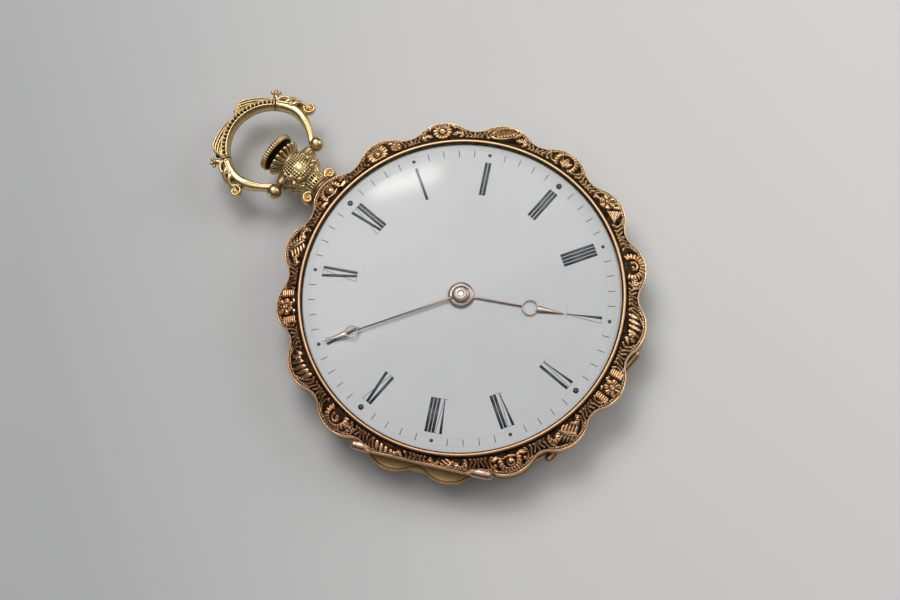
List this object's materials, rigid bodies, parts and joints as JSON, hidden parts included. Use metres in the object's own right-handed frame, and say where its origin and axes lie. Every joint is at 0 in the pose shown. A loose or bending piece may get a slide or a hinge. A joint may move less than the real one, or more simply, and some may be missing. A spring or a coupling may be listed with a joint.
{
  "type": "pocket watch",
  "caption": "Open-face key-wound pocket watch: scalloped gold case, hinged bezel, back and dust cover, bow, push piece, enamel dial and a complete cylinder movement.",
  "frame": {"origin": "centre of the flat of the back cover, which the watch lies on", "axes": "+Z from the back to the dial, +Y from the centre to the pendant and bow, +X to three o'clock"},
  "size_m": [0.0469, 0.0627, 0.0091],
  "materials": {
    "case_gold": "antique rose gold, polished ridges with dark patina in the recesses",
    "bow_gold": "paler antique gold, chased and worn",
    "gilt_brass": "gilt, finely frosted",
    "wheel_brass": "polished brass, circular grained",
    "hand_gold": "dark rose gold",
    "polished_steel": "polished steel",
    "blued_steel": "heat-blued steel",
    "ruby": "polished ruby",
    "white_enamel": "white fired enamel, glossy",
    "crystal_glass": "clear domed glass"
  },
  "bodies": {
    "case": {"case_band": "case_gold", "bezel_hinge_pin": "case_gold", "back_hinge_pin": "case_gold", "pendant": "bow_gold", "bow_screws": "bow_gold", "lock_spring": "polished_steel", "lock_spring_screw": "blued_steel", "case_screws": "polished_steel", "dial": "white_enamel", "dial_feet": "gilt_brass", "main_plate": "gilt_brass", "barrel_bridge": "gilt_brass", "centre_bar": "gilt_brass", "third_bar": "gilt_brass", "fourth_bar": "gilt_brass", "escape_cock": "gilt_brass", "balance_cock": "gilt_brass", "bridge_screws": "blued_steel", "train_jewels": "ruby", "cap_jewel": "ruby", "click_screws": "blued_steel", "click_spring": "blued_steel", "hairspring_stud": "polished_steel"},
    "front_bezel": {"bezel": "case_gold", "crystal": "crystal_glass"},
    "back": {"back_cover": "case_gold"},
    "dust_cover": {"cuvette": "gilt_brass"},
    "bow_ring": {"bow": "bow_gold"},
    "push_piece": {"push_button": "bow_gold", "button_stem": "bow_gold"},
    "centre_arbor": {"minute_hand": "hand_gold", "cannon_pinion": "polished_steel", "set_hands_arbor": "polished_steel", "centre_wheel": "wheel_brass"},
    "hour_pipe": {"hour_hand": "hand_gold", "hour_wheel": "wheel_brass"},
    "minute_wheel_body": {"minute_wheel": "wheel_brass"},
    "barrel_drum": {"barrel": "gilt_brass", "barrel_cover": "gilt_brass", "mainspring": "blued_steel"},
    "third_arbor": {"third_wheel": "wheel_brass"},
    "fourth_arbor": {"fourth_wheel": "wheel_brass"},
    "escape_arbor": {"escape_wheel": "polished_steel"},
    "winding_arbor": {"barrel_arbor": "polished_steel", "ratchet_wheel": "polished_steel"},
    "click_pawl": {"click": "polished_steel"},
    "balance": {"balance_wheel": "wheel_brass", "balance_staff": "polished_steel", "hairspring_collet": "polished_steel", "hairspring": "blued_steel"},
    "regulator_index": {"regulator": "polished_steel"}
  },
  "joints": [
    {"name": "bezel_hinge", "type": "hinge", "parent": "case", "child": "front_bezel", "pos_m": [-0.01898, -0.00945, 0.00576], "axis": [0.4457, -0.8952, 0], "range_deg": [0, 100]},
    {"name": "back_hinge", "type": "hinge", "parent": "case", "child": "back", "pos_m": [0, -0.0212, 0.0037], "axis": [-1, 0, 0], "range_deg": [0, 110]},
    {"name": "cuvette_hinge", "type": "hinge", "parent": "case", "child": "dust_cover", "pos_m": [0, -0.0212, 0.0037], "axis": [-1, 0, 0], "range_deg": [0, 88]},
    {"name": "bow_hinge", "type": "hinge", "parent": "case", "child": "bow_ring", "pos_m": [0, 0.02825, 0.0046], "axis": [1, 0, 0], "range_deg": [-100, 100]},
    {"name": "button_press", "type": "slide", "parent": "case", "child": "push_piece", "axis": [0, -1, 0], "range_m": [0, 0.00055], "stiffness_N_per_m": 1500, "deforming": ["lock_spring"]},
    {"name": "hand_turn", "type": "hinge", "parent": "case", "child": "centre_arbor", "pos_m": [0, 0, 0.0046], "axis": [0, 0, -1], "continuous": true},
    {"name": "hour_turn", "type": "hinge", "parent": "case", "child": "hour_pipe", "pos_m": [0, 0, 0.0046], "axis": [0, 0, -1], "continuous": true},
    {"name": "minute_wheel_turn", "type": "hinge", "parent": "case", "child": "minute_wheel_body", "pos_m": [0.0015, 0.0026, 0.0046], "axis": [0, 0, -1], "continuous": true},
    {"name": "barrel_turn", "type": "hinge", "parent": "case", "child": "barrel_drum", "pos_m": [-0.00579, 0.00689, 0.0046], "axis": [0, 0, -1], "continuous": true},
    {"name": "third_turn", "type": "hinge", "parent": "case", "child": "third_arbor", "pos_m": [0.0054, 0, 0.0046], "axis": [0, 0, -1], "continuous": true},
    {"name": "fourth_turn", "type": "hinge", "parent": "case", "child": "fourth_arbor", "pos_m": [0.0093, -0.00273, 0.0046], "axis": [0, 0, -1], "continuous": true},
    {"name": "escape_turn", "type": "hinge", "parent": "case", "child": "escape_arbor", "pos_m": [0.00954, -0.00701, 0.0046], "axis": [0, 0, -1], "continuous": true},
    {"name": "winding_turn", "type": "hinge", "parent": "case", "child": "winding_arbor", "pos_m": [-0.00579, 0.00689, 0.00175], "axis": [0, 0, -1], "range_deg": [0, 1800], "deforming": ["mainspring"]},
    {"name": "click_lift", "type": "hinge", "parent": "case", "child": "click_pawl", "pos_m": [-0.00431, 0.01094, 0.00175], "axis": [0, 0, 1], "range_deg": [0, 8], "stiffness_Nm_per_rad": 0.0002, "deforming": ["click_spring"]},
    {"name": "balance_swing", "type": "hinge", "parent": "case", "child": "balance", "pos_m": [0.00751, -0.00961, 0.00212], "axis": [0, 0, 1], "range_deg": [-150, 150], "stiffness_Nm_per_rad": 0.00000063, "deforming": ["hairspring"]},
    {"name": "regulator_turn", "type": "hinge", "parent": "case", "child": "regulator_index", "pos_m": [0.00751, -0.00961, 0.00125], "axis": [0, 0, 1], "range_deg": [-20, 20]}
  ],
  "couplings": [
    {"joint": "cuvette_hinge", "follows": "back_hinge", "ratio": 0.8},
    {"joint": "hour_turn", "follows": "hand_turn", "ratio": 0.083333},
    {"joint": "minute_wheel_turn", "follows": "hand_turn", "ratio": -0.33333},
    {"joint": "barrel_turn", "follows": "hand_turn", "ratio": -0.125},
    {"joint": "third_turn", "follows": "hand_turn", "ratio": -8},
    {"joint": "fourth_turn", "follows": "hand_turn", "ratio": 60},
    {"joint": "escape_turn", "follows": "hand_turn", "ratio": -600}
  ]
}
